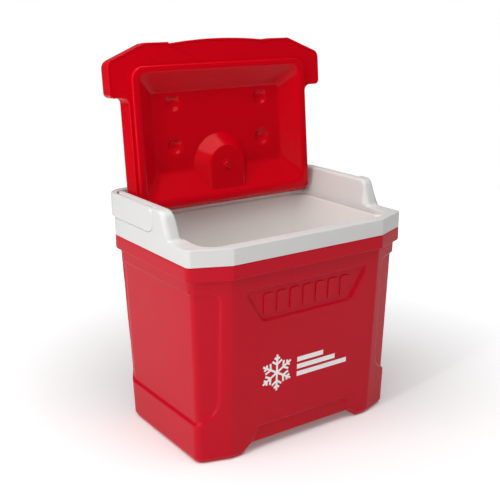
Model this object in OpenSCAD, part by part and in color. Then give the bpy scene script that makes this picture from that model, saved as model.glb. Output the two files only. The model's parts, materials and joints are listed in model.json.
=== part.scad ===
// Hard-sided personal cooler with a moulded rim, a hinged lid and a folding bail handle.
// The origin is on the floor under the middle of the cooler, lid open and handle folded back.
// +X is to the right as seen from the front, +Y to the rear (hinge side), +Z up.

/* [Rim] */
// Width of the white rim over its outer faces
rim_w = 365; // [320:1:440]
// Depth of the rim from its front face to its rear face
rim_d = 240; // [215:1:290]
// Height of the seat that the lid closes onto
seat_z = 306; // [260:1:370]
// Height of the white band below the seat
rim_band_h = 23; // [16:1:30]
// Height of the side walls above the seat
wall_rise = 38; // [32:1:48]
// Width of the seat along the front
seat_front_w = 18; // [14:0.5:22]
// Width of the seat along the rear
seat_rear_w = 13.3; // [11:0.1:18]
// Thickness of each raised side wall at its top, handle pocket included
side_wall_t = 18; // [17:0.5:22]
// How much thicker each side wall is at the seat than at its top
side_wall_draft = 7.5; // [4:0.5:10]
// Thickness of the rim moulding's own walls
rim_t = 3; // [2:0.1:4]
// Distance of the side walls' front foot behind the rim's front face
wall_front_setback = 66; // [58:1:76]
// Width of the chamfer at each front corner
corner_x = 55.5; // [40:0.5:62]
// Depth of the chamfer at each front corner
corner_y = 23.5; // [16:0.5:28]

/* [Body] */
// Height of the red band under the rim
flange_h = 20; // [14:1:28]
// Inward step under the red band
flange_step = 5.7; // [4:0.1:8]
// Further inward draft of each wall from the red band down to the base
draft_in = 8.6; // [4:0.1:12]
// Depth of the recessed side panels and of the foot recess
recess_depth = 2.8; // [1.5:0.1:4]
// Thickness of the outer shell
shell_t = 2.4; // [1.8:0.1:3.5]
// Height of the floor-level channel between the two foot rails
foot_h = 12; // [8:0.5:18]
// Half of the channel's width at its top
channel_half_w = 90; // [70:1:110]

/* [Liner] */
// Thickness of the white liner
liner_t = 2.5; // [1.8:0.1:3.5]
// Height of the liner's floor above the ground
liner_floor_z = 38; // [32:1:60]
// Inward draft of the liner's walls from the rim to its floor
liner_draft = 14; // [8:0.5:18]
// Width of the cut across each front corner of the liner
liner_cut_x = 42; // [30:1:50]
// Depth of the cut across each front corner of the liner
liner_cut_y = 32; // [24:1:40]

/* [Lid] */
// How far the lid opens
lid_open_angle = 95.2; // [92:0.1:96]
// Height of the closed lid above the seat at its middle
lid_h = 30; // [26:0.5:34]
// Gap between the lid and each side wall
lid_side_gap = 3; // [2:0.5:5]
// Gap between the closed lid and the seat
lid_seat_gap = 0.5; // [0.4:0.1:1]
// How far the lid's front corners reach past the rim
lid_overhang = 9; // [4:0.5:12]
// Wall thickness of the lid's outer cover
cover_t = 2.6; // [2:0.1:3.5]
// Wall thickness of the lid's inner pan
pan_t = 2.4; // [1.8:0.1:3]
// How far the pan's rim reaches below the seat
plug_drop = 5.5; // [4:0.5:10]
// Depth of the pan's hollow
pan_depth = 21.3; // [15:0.1:22]
// Distance of the hinge axis from the rim's rear face
hinge_setback = 22.4; // [20:0.1:26]
// Height of the hinge axis above the seat
hinge_rise = 14; // [13.8:0.1:15]
// Radius of each lid hinge pin
hinge_pin_r = 4; // [3:0.1:5]

/* [Handle] */
// Height of the handle's flat arms when folded
arm_h = 33.4; // [26:0.2:34]
// Thickness of the handle's arms
arm_t = 6.4; // [5:0.1:7.5]
// Thickness of the rear grip
grip_t = 11; // [9:0.5:13]
// Distance of the grip's outer face behind the rim's rear face
grip_reach = 12.2; // [11.5:0.1:18]
// Distance of the handle's pivot behind the middle of the rim
pivot_setback = 6; // [0:0.5:14]
// Radius of each handle pivot pin
pivot_r = 4.5; // [3.5:0.1:5.5]

/* [Trim] */
// Raised height of the ribs in the front recess
rib_raise = 1.5; // [0.8:0.1:2]
// Thickness of the printed emblem's film
emblem_t = 0.3; // [0.2:0.05:0.5]
// Radius of the printed emblem's snowflake
emblem_r = 27; // [18:1:32]

/* [Hidden] */
$fn = 64;

RED = [0.78, 0.02, 0.07];
WHITE = [0.93, 0.93, 0.92];
CREAM = [0.93, 0.86, 0.66];

// Small lengths that several pieces share
eps = 0.01;
run_gap = 0.05;    // radial clearance of each pin in its bore
free_gap = 0.4;    // clearance between pieces that pass each other
seam = 0.1;        // clearance between pieces of one body
arc_steps = 5;     // straight facets in each rounded corner of an outline

hw = rim_w / 2;
rim_bottom = seat_z - rim_band_h;
flange_bottom = rim_bottom - flange_h;
wall_top = seat_z + wall_rise;
rim_front = -rim_d / 2;
rim_rear = rim_d / 2;
wall_in = hw - side_wall_t;
open_half = wall_in - side_wall_draft;
open_front = rim_front + seat_front_w;
open_rear = rim_rear - seat_rear_w;
hinge_y = rim_rear - hinge_setback;
hinge_z = seat_z + hinge_rise;
body_shift = -6.7;  // brings the middle of the whole cooler over the origin

// ---- Outlines ----

// Points of the arc that rounds corner p between its neighbours a and b
function corner_arc(a, p, b, r) =
    let (u = (a - p) / norm(a - p), v = (b - p) / norm(b - p),
         half = acos(u * v) / 2,
         c = p + (u + v) / norm(u + v) * r / sin(half),
         s = p + u * r / tan(half) - c, e = p + v * r / tan(half) - c,
         a0 = atan2(s[1], s[0]),
         turn = ((atan2(e[1], e[0]) - a0 + 540) % 360) - 180)
    [for (i = [0 : arc_steps]) c + r * [cos(a0 + turn * i / arc_steps), sin(a0 + turn * i / arc_steps)]];

// A closed outline whose corner i is rounded to radius r[i], sharp where r[i] is 0
function rounded(p, r) =
    [for (i = [0 : len(p) - 1])
        each (r[i] > 0
            ? corner_arc(p[(i + len(p) - 1) % len(p)], p[i], p[(i + 1) % len(p)], r[i])
            : [p[i]])];

// The cooler's plan: half-width, front and rear, chamfered front corners, rounded rear corners
function plan(half, front, rear, cx, cy, r_front, r_rear) =
    rounded([[cx - half, front], [half - cx, front], [half, front + cy],
             [half, rear], [-half, rear], [-half, front + cy]],
            [r_front, r_front, r_front, r_rear, r_rear, r_front]);

// The plan of the rim at an inset from its outer face
function rim_plan(inset) =
    plan(hw - inset, rim_front + inset, rim_rear - inset, corner_x - 0.6 * inset,
         corner_y - 0.6 * inset, 9 - min(inset, 6) / 2, 26 - min(inset, 20));

// The plan of the opening inside the rim, let in by an inset
function opening_plan(inset) =
    let (h = open_half - inset, f = open_front + inset, r = open_rear - inset)
    rounded([[-h, f], [h, f], [h, r], [-h, r]], [1, 1, 1, 1] * (22 - inset));

// The plan of the liner's inner face, let in by an inset; its front corners are cut across
function liner_plan(inset) =
    let (h = open_half - inset, f = open_front + inset, r = open_rear - inset)
    rounded([[liner_cut_x - h, f], [h - liner_cut_x, f], [h, f + liner_cut_y],
             [h, r], [-h, r], [-h, f + liner_cut_y]],
            [15, 15, 15, 24 - 0.6 * inset, 24 - 0.6 * inset, 15]);

// A solid skinned through levels of [z, outline]; every outline has the same number of points
module skin(levels) {
    n = len(levels[0][1]);
    m = len(levels);
    polyhedron(
        points = [for (l = levels) for (p = l[1]) [p[0], p[1], l[0]]],
        faces = concat(
            [[for (i = [0 : n - 1]) i]],
            [[for (i = [n - 1 : -1 : 0]) (m - 1) * n + i]],
            [for (k = [0 : m - 2]) for (i = [0 : n - 1])
                let (a = k * n + i, b = k * n + (i + 1) % n) each [[a, a + n, b + n], [a, b + n, b]]]),
        convexity = 6);
}

module both_sides() {
    children();
    mirror([1, 0, 0]) children();
}

module placed() {
    translate([0, body_shift, 0]) children();
}

// Turns a lid piece, drawn closed, back to the open position
module opened() {
    placed() translate([0, hinge_y, hinge_z]) rotate([-lid_open_angle, 0, 0])
        translate([0, -hinge_y, -hinge_z]) children();
}

// ---- Body ----

bevel_h = 7;       // height of the bevel round the base
bevel_in = 3.4;    // how far the bevel draws in

// Inset of the body's wall from the rim's face at height z below the red band
function wall_inset(z) = flange_step + draft_in * (flange_bottom - z) / flange_bottom;

// The body's plan at height z, let in by a further inset
function body_plan(z, inset) =
    let (w = wall_inset(z) + inset)
    plan(hw - w, rim_front + w + 1.2 * (flange_bottom - z) / flange_bottom, rim_rear - w,
         corner_x - 5 - 5 * (flange_bottom - z) / flange_bottom,
         corner_y - 2.5 - 7 * (flange_bottom - z) / flange_bottom, 9, 24 - min(inset, 12));

// The body below the red band, let in by an inset, with its foot bevel
module body_form(inset) {
    skin([[inset, body_plan(0, inset + bevel_in)],
          [bevel_h + inset / 2, body_plan(bevel_h, inset)],
          [flange_bottom, body_plan(flange_bottom, inset)]]);
}

panel_top = flange_bottom - 17;
panel_rear = rim_rear - 17;
panel_low = 53;
panel_edge = hw - 45;      // where the side panel starts on the front chamfer
panel_cut = 31;            // width of its slanted lower front corner
panel_cut_h = 23;          // height of that corner

// Front view of the recessed side panel, grown by g
function panel_front_view(g) =
    rounded([[panel_edge - g, panel_low + panel_cut_h - g], [panel_edge + panel_cut - g, panel_low - g],
             [hw + 1, panel_low - g], [hw + 1, panel_top + g], [panel_edge - g, panel_top + g]],
            [3, 3, 0, 0, 10]);

// Side view of the recessed side panel, grown by g
function panel_side_view(g) =
    rounded([[rim_front, panel_low - g - 1], [panel_rear + g, panel_low - g],
             [panel_rear + g, panel_top + g], [rim_front, panel_top + g + 1]], [0, 14, 14, 0]);

label_top = flange_bottom - 21;
label_h = 49;
label_half_top = 107;
label_half_low = 76;

// Front view of the label recess, grown by g
function label_outline(g) =
    rounded([[-label_half_low - g, label_top - label_h - g], [label_half_low + g, label_top - label_h - g],
             [label_half_top + g, label_top + g], [-label_half_top - g, label_top + g]],
            [12, 12, 5, 5]);

// Front view of the shallow recess between the feet, grown by g
function foot_recess_outline(g) =
    [[-channel_half_w - 3 - g, -1], [channel_half_w + 3 + g, -1],
     [channel_half_w - 10 + g, 40 + g], [10 - channel_half_w - g, 40 + g]];

// Everything within the recesses' outlines, grown by g
module recess_zones(g) {
    both_sides() intersection() {
        translate([0, rim_rear, 0]) rotate([90, 0, 0]) linear_extrude(rim_d) polygon(panel_front_view(g));
        rotate([90, 0, 90]) linear_extrude(hw + 1) polygon(panel_side_view(g));
    }
    translate([0, rim_front + 25, 0]) rotate([90, 0, 0]) linear_extrude(30) {
        polygon(label_outline(g));
        polygon(foot_recess_outline(g));
    }
}

// The channel between the foot rails, its sides moved in by g and its top raised by g
module channel(g) {
    translate([0, rim_rear + 1, 0]) rotate([90, 0, 0]) linear_extrude(rim_d + 2)
        polygon([[-channel_half_w - 15 - g, -1], [channel_half_w + 15 + g, -1],
                 [channel_half_w + 15 + g, 0], [channel_half_w + g, foot_h + g],
                 [-channel_half_w - g, foot_h + g], [-channel_half_w - 15 - g, 0]]);
}

// The body's outside at an inset, recesses and channel included
module recessed_form(inset, grow) {
    difference() {
        body_form(inset);
        difference() {
            recess_zones(grow);
            body_form(inset + recess_depth);
        }
        channel(grow);
    }
}

// Raised ribs that fill the label recess in place of lettering
module label_ribs() {
    rib_n = 7;
    rib_pitch = 22;
    intersection() {
        difference() {
            body_form(recess_depth - rib_raise);
            body_form(recess_depth + eps);
        }
        translate([0, rim_front + 25, 0]) rotate([90, 0, 0]) linear_extrude(30)
            for (i = [0 : rib_n - 1]) {
                x = (i - (rib_n - 1) / 2) * rib_pitch;
                half = rib_pitch / 2 - 3;
                z0 = label_top - label_h + 9;
                polygon(rounded([[x - half, z0], [x + half, z0],
                                 [x + half, z0 + label_h - 18], [x - half, z0 + label_h - 18]],
                                [4, 4, 4, 4]));
            }
    }
}

plug_r = 14;

module outer_shell() color(RED) placed() difference() {
    union() {
        difference() {
            recessed_form(0, 0);
            recessed_form(shell_t, shell_t);
            translate([-hw, rim_front, flange_bottom - shell_t]) cube([rim_w, rim_d, shell_t + 1]);
        }
        label_ribs();
        difference() {
            translate([0, 0, flange_bottom - shell_t]) linear_extrude(rim_bottom - flange_bottom + shell_t)
                polygon(rim_plan(0));
            translate([0, 0, flange_bottom]) linear_extrude(flange_h + 1) polygon(rim_plan(shell_t));
            translate([0, 0, flange_bottom - shell_t - 1]) linear_extrude(shell_t + 2)
                polygon(body_plan(flange_bottom, shell_t));
        }
    }
    translate([0, 0, foot_h - 1]) cylinder(h = shell_t + 2, r = plug_r + seam);
}

// The space that the insulation fills: inside the shell, outside the liner
module shell_foam() color(CREAM) placed() difference() {
    union() {
        difference() {
            recessed_form(shell_t + seam, shell_t + seam);
            translate([-hw, rim_front, flange_bottom - shell_t]) cube([rim_w, rim_d, shell_t + 1]);
        }
        translate([0, 0, flange_bottom - shell_t - eps])
            linear_extrude(liner_top - liner_t - seam - flange_bottom + shell_t + eps)
                polygon(body_plan(flange_bottom, shell_t + seam));
    }
    liner_form(-seam, 1);
    translate([0, 0, foot_h - 1]) cylinder(h = shell_t + 8, r = plug_r + seam);
}

module base_foam_plug() color(RED) placed() {
    translate([0, 0, foot_h]) cylinder(h = shell_t + 5, r = plug_r);
    translate([0, 0, foot_h - 1.5]) cylinder(h = 1.5, r = plug_r + 2);
}

// ---- Liner ----

liner_top = seat_z - 6.5;      // the liner's flange lies just under the rim's seat

// The liner's outside let in by an inset, raised above its own top by over
module liner_form(inset, over) {
    function level(z, d) = [z, liner_plan(inset + d)];
    low = liner_floor_z - liner_t + inset;
    skin([level(low, liner_draft + 8 - liner_t), level(low + 5, liner_draft + 2 - liner_t),
          level(low + 12, liner_draft - liner_t), level(liner_top, -liner_t),
          level(liner_top + over, -liner_t)]);
}

module inner_liner() color(WHITE) placed() difference() {
    union() {
        liner_form(0, eps);
        translate([0, 0, liner_top - liner_t])
            linear_extrude(liner_t) polygon(rim_plan(rim_t + seam));
    }
    liner_form(liner_t, 1);
    translate([0, 0, liner_top]) linear_extrude(2) polygon(rim_plan(0));
}

// ---- Rim ----

pocket_in = arm_t + 2 * free_gap;      // depth of the handle pockets
pocket_floor = seat_z + 2.2;           // height of the shelf that the folded arms lie on
pivot_y = pivot_setback;
pivot_z = pocket_floor + free_gap + arm_h / 2;
wall_front = rim_front + wall_front_setback;
wall_rear = rim_rear - 10;
bend_gap = 2.4;                // gap between the walls' rear ends and the handle's bends

// Side view of a raised side wall
module wall_profile() {
    polygon(rounded([[wall_front, seat_z - 1], [wall_front, seat_z], [wall_front + 7, seat_z + 3],
                     [wall_front + 19, wall_top], [wall_rear, wall_top], [wall_rear, seat_z - 1]],
                    [0, 0, 3, 8, 6, 0]));
}

// Side view of a handle pocket: round about the pivot, open above and behind
module pocket_profile() {
    r = arm_h / 2 + free_gap;
    translate([pivot_y, pivot_z]) {
        circle(r);
        translate([-r, 0]) square([rim_d, wall_rise]);
        translate([0, -r]) square([rim_d, wall_rise + r]);
    }
}

module rim_collar() color(WHITE) placed() difference() {
    union() {
        difference() {
            translate([0, 0, rim_bottom]) linear_extrude(rim_band_h) polygon(rim_plan(0));
            translate([0, 0, rim_bottom - 1]) linear_extrude(rim_band_h - rim_t + 1) difference() {
                polygon(rim_plan(rim_t));
                polygon(opening_plan(-rim_t));
            }
            translate([0, 0, rim_bottom - 1]) linear_extrude(liner_top + seam - rim_bottom + 1)
                polygon(rim_plan(rim_t));
            translate([0, 0, rim_bottom - 1]) linear_extrude(rim_band_h + 2) polygon(opening_plan(0));
        }
        both_sides() intersection() {
            translate([open_half, 0, 0]) rotate([90, 0, 90]) linear_extrude(hw - open_half) wall_profile();
            translate([0, rim_rear, 0]) rotate([90, 0, 0]) linear_extrude(rim_d)
                polygon([[open_half, seat_z], [hw, seat_z - 1], [hw, wall_top + 1], [wall_in, wall_top + 1]]);
            translate([0, 0, rim_bottom]) linear_extrude(rim_band_h + wall_rise + 1) polygon(rim_plan(0));
        }
    }
    translate([0, 0, pocket_floor]) linear_extrude(wall_rise) difference() {
        translate([-rim_w, 0]) square([2 * rim_w, rim_d]);
        translate([-rim_w, -1]) square([2 * rim_w, rim_rear / 2]);
        polygon(handle_plan(arm_t + bend_gap, grip_t + bend_gap));
    }
    both_sides() {
        translate([hw - pocket_in, 0, 0]) rotate([90, 0, 90]) linear_extrude(pocket_in + 1) pocket_profile();
        translate([open_half, hinge_y, hinge_z]) rotate([0, 90, 0])
            cylinder(h = hinge_pin_end + free_gap - open_half, r = hinge_pin_r + run_gap);
        translate([wall_in + 2, pivot_y, pivot_z]) rotate([0, 90, 0])
            cylinder(h = side_wall_t, r = pivot_r + run_gap);
    }
}

hinge_pin_end = wall_in + 3;     // how far out each hinge pin reaches into the side wall
hinge_pin_root = 10;             // length of each hinge pin inside the lid

// ---- Printed emblem ----

emblem_z = 113;
emblem_x = -50;

// A six-armed snowflake made of plain bars
module snowflake(r, w) {
    for (k = [0 : 5]) rotate(60 * k) {
        translate([-w / 2, 0]) square([w, r]);
        for (f = [0.45, 0.72], s = [-1, 1])
            translate([0, f * r]) rotate(55 * s) translate([-w / 2, 0]) square([w, (1.05 - f) * r * 0.6]);
    }
}

module front_emblem() color(WHITE) placed() intersection() {
    difference() {
        body_form(-emblem_t);
        body_form(-eps);
    }
    translate([0, rim_front + 25, 0]) rotate([90, 0, 0]) linear_extrude(30) {
        translate([emblem_x, emblem_z]) snowflake(emblem_r, 3);
        for (k = [0 : 2]) translate([emblem_x + emblem_r + 8, emblem_z - 14.5 + 11 * k])
            square([90 - 22 * k, 7]);
    }
}

// ---- Lid, drawn closed ----

lid_half = open_half - lid_side_gap;
lid_bottom = seat_z + lid_seat_gap;
lid_top = seat_z + lid_h;
plug_z = lid_bottom - lid_seat_gap - plug_drop;
lid_front = rim_front - lid_overhang;
ear_rear = wall_front - 2;
barrel_r = hinge_rise - lid_seat_gap;
lid_rear = hinge_y + barrel_r - 1;
lip_half = 84;
lip_bow = 5;
notch = 2;

// Half-width of the lid between the side walls at height z
function lid_half_at(z) = lid_half + side_wall_draft * (z - lid_bottom) / wall_rise;

// The lid's middle at height z: a bowed front lip between straight sides
function lid_middle(z, inset) =
    let (w = lid_half_at(z) - inset, f = lid_front + inset, r = lid_rear - inset)
    rounded(concat([for (k = [-4 : 4]) [lip_half * k / 4, f + notch - lip_bow * (1 - k * k / 16)]],
                   [[w, f + corner_y], [w, r], [-w, r], [-w, f + corner_y]]),
            [0, 0, 0, 0, 0, 0, 0, 0, 0, 6, 4, 4, 6]);

// The lid's right ear, which reaches out over the rim in front of the side wall
function lid_ear(inset) =
    let (e = hw - inset, f = lid_front + inset, r = ear_rear - inset, x = lip_half + 2 + inset / 2)
    rounded([[x, f], [e - corner_x - 2, f], [e, f + corner_y], [e, r], [x, r]], [1, 9, 12, 7, 1]);

// Levels of the lid's rounded top, as [height below the top, inset]
top_round = [[11, 0.8], [5, 2.4], [1.6, 5.6], [0, 11]];

// The rear of the lid is round about the hinge axis, let in by an inset
module barrel_cut(inset) {
    difference() {
        translate([-hw, hinge_y, lid_bottom - 10]) cube([rim_w, 40, lid_h + 20]);
        union() {
            translate([-hw, hinge_y, hinge_z]) rotate([0, 90, 0]) cylinder(h = rim_w, r = barrel_r - inset);
            translate([-hw, hinge_y - 1, hinge_z]) cube([rim_w, barrel_r - 5 + 1 - inset, lid_h]);
            translate([-hw, hinge_y + barrel_r - 5 - inset, hinge_z + barrel_r - 12])
                rotate([0, 90, 0]) cylinder(h = rim_w, r = 6);
        }
    }
}

// The outside of the lid's cover, let in by an inset
module lid_form(inset) {
    low = lid_bottom - (inset > 0 ? 1 : 0);
    levels = concat([[low, inset]], [for (t = top_round) [lid_top - inset - t[0], inset + t[1]]]);
    difference() {
        skin([for (l = levels) [l[0], lid_middle(l[0], l[1])]]);
        barrel_cut(inset);
    }
    both_sides() skin([for (l = levels) [l[0], lid_ear(l[1])]]);
}

// Concave fillets between the ears and the lid's middle, clear of the side walls' feet
module ear_fillets() {
    r = 9;
    x = lid_half_at(lid_top);
    low = lid_bottom + 5;
    both_sides() difference() {
        translate([lid_half - 2, ear_rear - 3, low]) cube([x + r - lid_half + 2, r + 3, lid_h - 18]);
        translate([x + r, ear_rear + r, low - 1]) cylinder(h = lid_h, r = r);
    }
}

pan_flange_z = lid_bottom + 0.6;    // underside of the pan's flat flange, level with the cover's edge
flange_inset = cover_t + 0.7;       // how far the flange's edge lies inside the lid's outline

// Pan outlines: half-width, front, rear and corner radius
function pan_plan(half, front, rear, r) =
    rounded([[-half, front], [half, front], [half, rear], [-half, rear]], [r, r, r, r]);

ridge_half = lid_half - 4;
ridge_front = open_front + 4;
ridge_rear = open_rear - 2.7;
pan_ridge_w = 9;
pan_slope = 30;
pan_rear_slope = 39;

// The hollow of the pan, let in by d towards the foam
module pan_hollow(d) {
    function level(z, t, r) =
        [z, pan_plan(ridge_half - pan_ridge_w + d - pan_slope * t, ridge_front + pan_ridge_w - d + 28 * t,
                     ridge_rear - pan_ridge_w + d - pan_rear_slope * t, r)];
    skin([level(plug_z - 1, -0.05, 17), level(plug_z + 2, 0.05, 16), level(plug_z + pan_depth - 1 + d, 0.92, 8),
          level(plug_z + pan_depth + d, 1, 6)]);
}

boss_y = hinge_y - 45;
dimple_x = 77;
dimple_r = 22;
dimple_depth = 3.4;

// The arch-shaped boss at the hinge side of the pan, let in by d
module boss(d) {
    z0 = plug_z + 3.5 + d;
    z1 = plug_z + pan_depth + 0.5;
    hull() for (y = [boss_y, boss_y + 24])
        translate([0, y, z0]) cylinder(h = z1 - z0, r1 = 29 - d, r2 = 47 - d, $fn = 32);
}

// Four round dimples pressed into the pan's floor, grown by d
module dimples(d) {
    for (sx = [-1, 1], y = [boss_y - 34, boss_y - 96])
        translate([sx * dimple_x, y, plug_z + pan_depth - dimple_r + dimple_depth])
            sphere(r = dimple_r + d);
}

module pan_backing() {
    pan_hollow(pan_t);
    dimples(pan_t);
}

module lid_pan() color(RED) opened() difference() {
    union() {
        difference() {
            translate([0, 0, pan_flange_z]) linear_extrude(pan_t) {
                polygon(lid_middle(lid_bottom, flange_inset));
                polygon(lid_ear(flange_inset));
                mirror([1, 0, 0]) polygon(lid_ear(flange_inset));
            }
            barrel_cut(cover_t + seam);
        }
        skin([[plug_z, pan_plan(ridge_half - 1.5, ridge_front + 1.5, ridge_rear - 1.5, 18)],
              [plug_z + 1.5, pan_plan(ridge_half, ridge_front, ridge_rear, 19)],
              [pan_flange_z + pan_t, pan_plan(ridge_half, ridge_front, ridge_rear, 19)]]);
        intersection() {
            pan_backing();
            translate([-hw, rim_front, plug_z + 5]) cube([rim_w, rim_d, lid_h]);
        }
    }
    difference() {
        union() {
            pan_hollow(0);
            dimples(0);
        }
        boss(0);
        translate([-hw, rim_front, lid_top]) cube([rim_w, rim_d, lid_h]);
    }
    intersection() {
        boss(pan_t);
        translate([-hw, boss_y - 60, plug_z + 3.5 + pan_t]) cube([rim_w, 60 + 24, lid_h]);
    }
    translate([0, boss_y, plug_z]) cylinder(h = 12, r = lid_plug_r + seam);
    hub_clearance();
}

lid_plug_r = 7.5;

module lid_foam_plug() color(RED) opened() {
    translate([0, boss_y, plug_z + 3.5 - 1]) cylinder(h = 1, r = lid_plug_r + 1.2);
    translate([0, boss_y, plug_z + 3.5]) cylinder(h = 5, r = lid_plug_r);
}

hub_r = barrel_r - 1;
hub_len = hinge_pin_root + 4;
hub_face = lid_half_at(hinge_z);

// The blocks in the cover that hold the hinge pins
module hubs(r, len) {
    both_sides() translate([hub_face - len, hinge_y, hinge_z]) rotate([0, 90, 0])
        cylinder(h = len - cover_t / 2, r = r);
}

module hub_clearance() {
    hubs(hub_r + seam, hub_len + seam);
}

module lid_cover() color(RED) opened() difference() {
    union() {
        difference() {
            union() {
                lid_form(0);
                ear_fillets();
            }
            lid_form(cover_t);
            translate([0, 0, plug_z]) linear_extrude(pan_flange_z + pan_t + seam - plug_z)
                polygon(pan_plan(ridge_half + seam, ridge_front - seam, ridge_rear + seam, 19));
        }
        hubs(hub_r, hub_len);
    }
    both_sides() translate([hub_face - hinge_pin_root, hinge_y, hinge_z]) rotate([0, 90, 0])
        cylinder(h = hinge_pin_root + 5, r = hinge_pin_r + seam);
}

module lid_foam() color(CREAM) opened() difference() {
    lid_form(cover_t + seam);
    translate([-rim_w, rim_front * 2, 0]) cube([rim_w * 2, rim_d * 2, pan_flange_z + pan_t + seam]);
    pan_backing();
    boss(-pan_t);
    hub_clearance();
}

module hinge_pin() {
    translate([hub_face - hinge_pin_root, hinge_y, hinge_z]) rotate([0, 90, 0])
        cylinder(h = hinge_pin_end - hub_face + hinge_pin_root, r = hinge_pin_r);
}

module lid_hinge_pin_left() color(WHITE) opened() mirror([1, 0, 0]) hinge_pin();

module lid_hinge_pin_right() color(WHITE) opened() hinge_pin();

// ---- Handle, drawn folded back ----

grip_rear = rim_rear + grip_reach;
arm_out = hw - free_gap / 2;
handle_r = 30;

// The handle's outline seen from above, its sides let in by side and its grip's face by rear
function handle_plan(side, rear) =
    rounded([[side - arm_out, -rim_d - side], [arm_out - side, -rim_d - side],
             [arm_out - side, grip_rear - rear], [side - arm_out, grip_rear - rear]],
            [0, 0, handle_r - side, handle_r - side]);

module bail_handle() color(WHITE) placed() difference() {
    intersection() {
        translate([0, 0, pivot_z - arm_h / 2]) linear_extrude(arm_h) difference() {
            polygon(handle_plan(0, 0));
            polygon(handle_plan(arm_t, grip_t));
        }
        union() {
            translate([-hw, pivot_y, pivot_z]) rotate([0, 90, 0]) cylinder(h = rim_w, r = arm_h / 2);
            translate([-hw, pivot_y, pivot_z - arm_h / 2]) cube([rim_w, rim_d, arm_h]);
        }
    }
    both_sides() translate([arm_out - arm_t - 1, pivot_y, pivot_z]) rotate([0, 90, 0])
        cylinder(h = pin_grip + 1, r = pivot_r + seam);
}

pin_grip = arm_t - 2;    // length of each pivot pin inside the arm

module handle_pin() {
    translate([wall_in + 3, pivot_y, pivot_z]) rotate([0, 90, 0])
        cylinder(h = arm_out - arm_t + pin_grip - wall_in - 3, r = pivot_r);
}

module handle_pin_left() color(WHITE) placed() mirror([1, 0, 0]) handle_pin();

module handle_pin_right() color(WHITE) placed() handle_pin();

outer_shell();
shell_foam();
base_foam_plug();
inner_liner();
rim_collar();
front_emblem();
lid_cover();
lid_foam();
lid_pan();
lid_foam_plug();
lid_hinge_pin_left();
lid_hinge_pin_right();
bail_handle();
handle_pin_left();
handle_pin_right();
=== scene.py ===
"""Looks of a hard-sided personal cooler: red moulded shell and lid, white rim, liner and handle.

Every length here is in millimetres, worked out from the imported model's boxes and joints, and
becomes metres when a mesh is made. The lid's pieces are shaped shut, then turned open.
"""

import json

import bmesh
import bpy
import numpy as np
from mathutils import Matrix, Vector


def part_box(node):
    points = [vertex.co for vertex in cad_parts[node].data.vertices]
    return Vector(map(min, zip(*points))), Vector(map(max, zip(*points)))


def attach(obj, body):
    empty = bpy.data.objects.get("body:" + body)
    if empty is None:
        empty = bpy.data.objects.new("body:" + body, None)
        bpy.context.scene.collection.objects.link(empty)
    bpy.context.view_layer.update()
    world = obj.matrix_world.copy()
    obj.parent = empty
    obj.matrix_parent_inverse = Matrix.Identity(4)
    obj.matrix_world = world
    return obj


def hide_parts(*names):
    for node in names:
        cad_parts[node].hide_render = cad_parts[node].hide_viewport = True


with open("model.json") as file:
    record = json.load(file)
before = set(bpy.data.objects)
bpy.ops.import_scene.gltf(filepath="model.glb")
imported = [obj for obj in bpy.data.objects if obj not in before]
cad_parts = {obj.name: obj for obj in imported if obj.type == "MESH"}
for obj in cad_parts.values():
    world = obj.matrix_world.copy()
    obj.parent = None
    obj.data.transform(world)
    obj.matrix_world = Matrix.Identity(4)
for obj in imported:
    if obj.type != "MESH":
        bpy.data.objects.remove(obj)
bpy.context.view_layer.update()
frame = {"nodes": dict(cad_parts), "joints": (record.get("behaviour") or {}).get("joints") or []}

MM = 0.001

# ---- Sizes taken from the frame ----


def node_box(node):
    """Lowest and highest corner of a CAD node, in millimetres."""
    low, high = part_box(node)
    return np.array(low) / MM, np.array(high) / MM


joints = {joint["name"]: joint for joint in frame["joints"]}
rim_low, rim_high = node_box("rim_collar")
liner_low, liner_high = node_box("inner_liner")
handle_low, handle_high = node_box("bail_handle")

half_w = rim_high[0]
rim_front = rim_low[1]
rim_rear = rim_high[1]
band_bottom = rim_low[2]
wall_top = rim_high[2]
liner_top = liner_high[2]
hinge_y, hinge_z = np.array(joints["lid_hinge"]["pos_m"])[1:] / MM
pivot_y, pivot_z = np.array(joints["handle_swing"]["pos_m"])[1:] / MM
open_angle = np.radians(joints["lid_hinge"]["range_deg"][1])

wall_rise = 38              # side walls above the seat
side_wall_t = 18            # side walls, outer face to inner face
band_h = 20                 # red band below the rim
seat_side_w = 7.5           # seat between a side wall and the opening
seat_front_w = 18
seat_rear_w = 13.3
cut_w, cut_d = 55.5, 23.5   # cut across the rim's front corners: its width and its depth
front_r = 9                 # rim's front corners in plan
rear_r = 26                 # rim's rear corners in plan
open_r = 22                 # opening's corners in plan

seat_z = wall_top - wall_rise
flange_bottom = band_bottom - band_h
wall_in = half_w - side_wall_t
open_half = wall_in - seat_side_w
open_front = rim_front + seat_front_w
open_rear = rim_rear - seat_rear_w

# ---- Curves and outlines, worked out as whole arrays ----


def spaced(low, high, zones, fine, coarse):
    """Positions from low to high, a fine step apart inside the zones and a coarse step outside."""
    x = np.linspace(low, high, 6001)
    inside = np.any([(x > a) & (x < b) for a, b in zones], axis=0)
    density = np.where(inside, 1 / fine, 1 / coarse)
    count = np.concatenate([[0], np.cumsum((density[1:] + density[:-1]) / 2 * np.diff(x))])
    return np.interp(np.linspace(0, count[-1], int(np.ceil(count[-1])) + 1), count, x)


def ease(t):
    """Smooth step: 0 below 0, 1 above 1, and 3t^2 - 2t^3 between."""
    t = np.clip(t, 0, 1)
    return t * t * (3 - 2 * t)


def soft_min(distances, softness):
    """Smooth minimum -s ln(sum exp(-d / s)), which rounds the corners where two edges meet."""
    d = np.stack(np.broadcast_arrays(*distances))
    low = d.min(axis=0)
    return low - softness * np.log(np.exp((low - d) / softness).sum(axis=0))


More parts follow.
